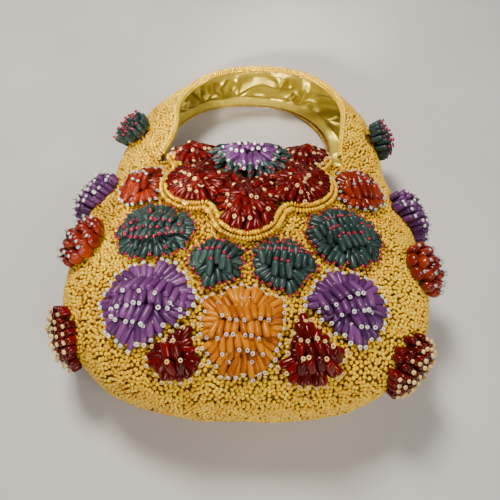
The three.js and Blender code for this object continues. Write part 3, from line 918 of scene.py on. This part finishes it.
def seeds(name, places, normals, along, size=1.0, bead=SEED, stretch=1.0, tone=0.6):
    """Yellow seed beads on their sides, their holes along the given directions."""
    count = len(places)
    side = unit(np.cross(along, normals))
    along = unit(along)
    across = np.cross(along, side)
    wide = SEED_RADIUS * size * np.clip(rng.normal(1, 0.05, count), 0.85, 1.15)
    long = SEED_LENGTH * stretch * np.clip(rng.normal(1, 0.09, count), 0.75, 1.3)
    patch = np.array([noise.noise(Vector(p) * 22) for p in places])
    tint = np.clip(rng.normal(tone, 0.16, count) + 0.25 * patch, 0.15, 1)
    points, faces = strewn(bead, places, side, across, along, wide, long)
    # Painted shade: the undersides of the beads are coloured darker
    tint = shaded(tint, points, places, normals, wide, SEED_SHADE)
    return make(name, points, faces, GLASS["yellow"], values={"tint": tint})


def halved(values):
    """Values along a line, with the mean of each two neighbours put between them."""
    mixed = np.empty((len(values) * 2 - 1, 3))
    mixed[0::2] = values
    mixed[1::2] = (values[1:] + values[:-1]) / 2
    return mixed


def along_line(points, normals, step):
    """Even steps along a smooth line through points: places, normals and directions."""
    for _ in range(2):
        points = halved(points)
        normals = halved(normals)
        points[1:-1] = (points[:-2] + 2 * points[1:-1] + points[2:]) / 4
    far = np.concatenate([[0], np.cumsum(np.linalg.norm(np.diff(points, axis=0), axis=1))])
    count = max(2, int(round(far[-1] / step)))
    spots = (np.arange(count) + 0.5) / count * far[-1]
    place = np.stack([np.interp(spots, far, column) for column in points.T], axis=1)
    normal = np.stack([np.interp(spots, far, column) for column in normals.T], axis=1)
    return place, unit(normal), unit(np.gradient(place, axis=0))


def runs(loop, wanted):
    """The stretches of a closed loop where a condition holds."""
    if wanted.all():
        return [np.append(loop, loop[0])]
    start = int(np.argmin(wanted))
    loop = np.roll(loop, -start)
    wanted = np.roll(wanted, -start)
    changes = np.nonzero(np.diff(wanted.astype(int)))[0] + 1
    return [part for part in np.split(loop, changes)[1::2] if len(part) > 2]


field = Field(SEED_GAP)


def edge_rows(name, skin, wanted, rows):
    """Rows of beads along an open edge, each given by its distance from the edge and its depth."""
    places = []
    normals = []
    lines = []
    for part in runs(skin.edge_loop(), wanted):
        for inward, depth in rows:
            place, normal, line = along_line(skin.points[part], skin.normals[part], ROW_STEP)
            toward = np.cross(normal, line)
            places.append(place + toward * inward - normal * depth)
            # Tilted outwards, so that the painted shade leaves the beads' outer sides light
            normals.append(unit(normal - toward))
            lines.append(line + rng.normal(0, 0.08, line.shape))
    places = np.concatenate(places)
    for place in places:
        field.hold(place)
    seeds(name, places, np.concatenate(normals), np.concatenate(lines), size=1.1, stretch=0.8, tone=0.85)


def away_from(tree, points):
    """Distance of each point from a surface."""
    return np.array([tree.find_nearest(Vector(p))[3] for p in points])


loop = handle.edge_loop()
free_edge = away_from(body_tree, handle.points[loop]) > FREE_EDGE
upper = handle.points[loop][:, 2] > handle.points[:, 2].mean()
edge_rows("handle_front_edge_beads", handle, free_edge & upper,
          [(0.5 * MM, 0.9 * MM), (-0.3 * MM, 2.7 * MM), (0.3 * MM, 4.5 * MM)])
edge_rows("handle_back_edge_beads", handle, free_edge & ~upper,
          [(0.5 * MM, 0.9 * MM), (-0.1 * MM, 2.6 * MM)])
loop = body.edge_loop()
edge_rows("mouth_edge_beads", body, away_from(handle_tree, body.points[loop]) > FREE_EDGE,
          [(0.5 * MM, 1.0 * MM), (-0.1 * MM, 2.6 * MM)])

edging_points, edging_tris = node_mesh("flap_edging")
edging_tree = search_tree(edging_points, edging_tris)


def tube_line(points, tris, radius, middle, bins):
    """The middle line of a tube that runs round a point, in order of the angle round it."""
    core = points - point_normals(points, tris, facet_areas(points, tris)) * radius
    angle = np.arctan2(core[:, 0] - middle[0], middle[1] - core[:, 1])
    part = np.digitize(angle, np.linspace(angle.min(), angle.max(), bins))
    return np.array([core[part == k].mean(axis=0) for k in np.unique(part)])


line = tube_line(edging_points, edging_tris, EDGING_RADIUS, middle.centre, EDGING_BINS)
flap_normals = np.array([np.array(flap_tree.find_nearest(Vector(p))[1]) for p in line])
core, normal, line = along_line(line, flap_normals, EDGING_STEP)
out = unit(np.cross(line, normal))
strings_at = np.concatenate([core + out * away + normal * up for away, up in EDGING_STRINGS])
for point in strings_at:
    field.hold(point)
lines = np.concatenate([line, line]) + rng.normal(0, 0.03, strings_at.shape)
ups = np.concatenate([normal, normal])
edging = seeds("flap_edging_beads", strings_at, ups, lines, size=1.3, stretch=0.76, tone=0.5)
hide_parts("flap_edging")
loop = flap.edge_loop()
near_edging = away_from(edging_tree, flap.points[loop]) < EDGING_NEAR
plain = ~near_edging & (flap.points[loop][:, 2] > OFF_TABLE)
edge_rows("flap_edge_beads", flap, plain, [(0.6 * MM, 1.0 * MM)])

cover_points = np.zeros((0, 3))
cover_faces = np.zeros((0, 3), dtype=np.int32)
for node in ["flap_ring", "flap_centre"] + ["flap_petal_" + n for n in PETALS]:
    points, tris = node_mesh(node)
    cover_faces = np.concatenate([cover_faces, tris + len(cover_points)])
    cover_points = np.concatenate([cover_points, points])
cover_tree = search_tree(cover_points, cover_faces)


def hidden_under(tree, points, normals, reach):
    """Which points have a surface over them within reach."""
    hits = [tree.ray_cast(Vector(p), Vector(n), reach)[0] for p, n in zip(points, normals)]
    return np.array([hit is not None for hit in hits])


def scatter(skin, covered):
    """Beads strewn over a skin until hardly any room is left: places and normals."""
    count = int(skin.area.sum() / SEED_GAP**2 * CROWDING)
    tri = rng.choice(len(skin.tris), count, p=skin.area / skin.area.sum())
    share = rng.dirichlet((1, 1, 1), count)
    points, normals = skin.rounded(tri, share)
    open_ground = ~covered(points, normals)
    points = points[open_ground]
    normals = normals[open_ground]
    places = points - normals * SEED_DEPTH
    kept = []
    for start in range(0, len(places), BATCH):
        batch = np.arange(start, min(start + BATCH, len(places)))
        for k in batch[field.free(places[batch])]:
            if field.place(places[k]):
                kept.append(k)
    return settled(points[kept], normals[kept]) - normals[kept] * SEED_DEPTH, normals[kept]


def strings(places, normals):
    """Directions of the beads' holes: short wandering strings of stitches."""
    first = unit(np.cross(normals, (0.31, 0.87, 0.38)))
    second = np.cross(normals, first)
    turn = np.array([noise.noise(Vector(p) * 60 + Vector((7, 3, 1))) for p in places]) * 6
    turn = turn + rng.normal(0, 0.45, len(places))
    line = first * np.cos(turn)[:, None] + second * np.sin(turn)[:, None]
    return line + normals * rng.normal(0, 0.12, len(places))[:, None]


def under_blooms(points, normals):
    """Which points of the pouch and handle lie under flowers or the flap."""
    covered = np.zeros(len(points), dtype=bool)
    for bloom, share in blooms:
        covered |= bloom.covers(points, share)
    close = np.nonzero((points[:, 1] > FLAP_LOW) & (np.abs(points[:, 0]) < FLAP_SIDE) & ~covered)[0]
    covered[close] = hidden_under(flap_tree, points[close], normals[close], FLAP_HEIGHT)
    return covered


def under_rosette(points, normals):
    """Which points of the flap lie under the flap flower."""
    inner = np.linalg.norm(points - middle.centre, axis=1) < ROSETTE_RADIUS
    return inner | hidden_under(cover_tree, points, normals, ROSETTE_HEIGHT)


places, normals = scatter(flap, under_rosette)
seeds("flap_beads", places, normals, strings(places, normals))
places, normals = scatter(body, under_blooms)
lines = strings(places, normals)
front = normals[:, 2] > 0.0
bottom = places[:, 1] < LOWER_HALF
for name, chosen in (("front_lower_beads", front & bottom), ("front_upper_beads", front & ~bottom),
                     ("back_lower_beads", ~front & bottom), ("back_upper_beads", ~front & ~bottom)):
    bead = SEED if name.startswith("front") else PLAIN_SEED
    seeds(name, places[chosen], normals[chosen], lines[chosen], bead=bead)
places, normals = scatter(handle, under_blooms)
seeds("handle_beads", places, normals, strings(places, normals))


# Satin lining of the handle


def satin(name):
    """Shiny satin: fine threads, a soft unevenness, a lighter turned hem along the edges, and painted
    light on the band along the back edge.
    """
    made, tree, shader = material(name)
    mixed = blend(tree, speckle(tree, 30, 3), 0.7, attribute(tree, "hem"), 0.5)
    gold = [(0.15, (0.21, 0.145, 0.006)), (0.45, (0.44, 0.32, 0.022)), (0.8, (0.66, 0.50, 0.06))]
    colour_by(tree, shader, mixed, gold)
    bump(tree, shader, blend(tree, threads(tree, 1400, 1.5), 0.08, speckle(tree, 160, 2), 1), 0.12 * MM)
    uneven_gloss(tree, shader, 300, 0.27, 0.12)
    shader.inputs["Metallic"].default_value = 0.6
    return made


lining = Skin("handle_lining", ARCH_MIDDLE, inward=True)
points, normals, faces = lining.refined(SATIN_PARTS)
loop = lining.points[lining.edge_loop()]
ahead = np.roll(loop, -1, axis=0) - loop
edge = np.concatenate([loop + ahead * k / EDGE_PARTS for k in range(EDGE_PARTS)])


def nearest(places, targets):
    """Distance of each place from the nearest target."""
    parts = np.array_split(places, NEAR_BATCHES)
    return np.concatenate([np.linalg.norm(p[:, None] - targets[None], axis=2).min(axis=1) for p in parts])


rim = nearest(points, edge)
back_rim = nearest(points, edge[edge[:, 2] < edge[:, 2].mean()])
turn = np.arctan2(points[:, 1] - ARCH_MIDDLE[1], points[:, 0]) * ARCH_RADIUS
folds = np.stack([turn * 15 + points[:, 2] * 17, points[:, 2] * 26 - turn * 12, points[:, 2] * 0], axis=1)


def crumple(spot):
    """Height of the creases at a spot: sharp ridges with soft hollows between, bent by a slower wave."""
    spot = Vector(spot)
    bend = Vector([noise.noise(spot * 0.8 + Vector(shift)) for shift in BEND_SHIFTS])
    bent = spot + 0.7 * bend
    first = 1 - 2.2 * abs(noise.noise(bent))
    second = 1 - 2.2 * abs(noise.noise(bent * 2.3 + Vector((5, 2, 1))))
    return first * max(first, 0) + 0.35 * second * max(second, 0)


crease = np.array([crumple(f) for f in folds])
away = np.clip(np.minimum(rim, back_rim - 0.75 * BACK_HEM) / CREASE_FADE, 0, 1)
away = away * away * (3 - 2 * away)
turned_hem = np.sqrt(np.clip(1 - ((rim - FRONT_HEM) / FRONT_HEM) ** 2, 0, 1))
band = np.sqrt(np.clip(1 - (2 * back_rim / BACK_HEM - 1) ** 4, 0, 1))
lift = np.maximum(FRONT_LIFT * turned_hem, band * (BACK_LIFT + BACK_CREASE * crease))
points = points + normals * (SATIN_CREASE * crease * away + lift)[:, None]
front_hem = 0.3 * np.clip(2.5 - rim / FRONT_HEM, 0, 1)
# Painted light: the band along the back edge is coloured lighter, as where it is lit
hem = np.maximum(front_hem, np.clip((BACK_HEM - back_rim) / MM, 0, 1))
satin_piece = make("lining_satin", points, faces, satin("gold_satin"), values={"hem": hem})
wall = satin_piece.modifiers.new("wall", "SOLIDIFY")
wall.thickness = SATIN_WALL
wall.offset = -1
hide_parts("handle_lining")


# Floor, light and camera

made, tree, shader = material("pale_table")
colour_by(tree, shader, speckle(tree, 9, 5), [(0.3, (0.60, 0.57, 0.53)), (0.7, (0.66, 0.63, 0.59))])
uneven_gloss(tree, shader, 30, 0.5, 0.1)
bpy.ops.mesh.primitive_plane_add(size=6, location=(0, 0, -0.3 * MM))
floor = bpy.context.object
floor.name = "floor"
floor.data.materials.append(made)


def lamp(name, place, target, size, power, colour, spread=180):
    """A soft square lamp aimed at a point. Spread is in degrees."""
    light = bpy.data.lights.new(name, "AREA")
    light.size = size
    light.energy = power
    light.color = colour
    light.spread = math.radians(spread)
    piece = bpy.data.objects.new(name, light)
    piece.location = place
    piece.rotation_euler = (Vector(target) - Vector(place)).to_track_quat("-Z", "Y").to_euler()
    bpy.context.scene.collection.objects.link(piece)


lamp("key", (-0.25, 0.4, 1.0), (0, 0, 0.03), size=0.3, power=14.5, colour=(1.0, 0.95, 0.88))
lamp("fill", (0.6, -0.7, 0.9), (0, 0, 0.03), size=0.5, power=7, colour=(1.0, 0.98, 0.95))
lamp("front", (-0.22, -0.46, 0.36), (0, 0.15, 0.03), size=0.1, power=0.13, colour=(1.0, 0.96, 0.88),
     spread=16)
lamp("low", (0.05, -0.75, 0.16), (0, -0.15, 0.02), size=0.25, power=0.1, colour=(1.0, 0.96, 0.9),
     spread=40)
world = bpy.data.worlds.new("room")
bpy.context.scene.world = world
world.use_nodes = True
world.node_tree.nodes["Background"].inputs["Color"].default_value = (0.9, 0.92, 1.0, 1)
world.node_tree.nodes["Background"].inputs["Strength"].default_value = 0.14

lens = bpy.data.cameras.new("camera")
lens.sensor_fit = "HORIZONTAL"
lens.angle = 2 * math.atan(0.5)
camera = bpy.data.objects.new("camera", lens)
bpy.context.scene.collection.objects.link(camera)
bpy.context.scene.camera = camera
CAMERA_FAR = 0.321
turn = math.radians(-1.5)
tilt = math.radians(58)
aim = Vector((1.2, -58.5, 70)) * MM
forward = Vector((math.sin(turn) * math.cos(tilt), math.cos(turn) * math.cos(tilt), -math.sin(tilt)))
camera.location = aim - forward * CAMERA_FAR
camera.rotation_euler = forward.to_track_quat("-Z", "Y").to_euler()
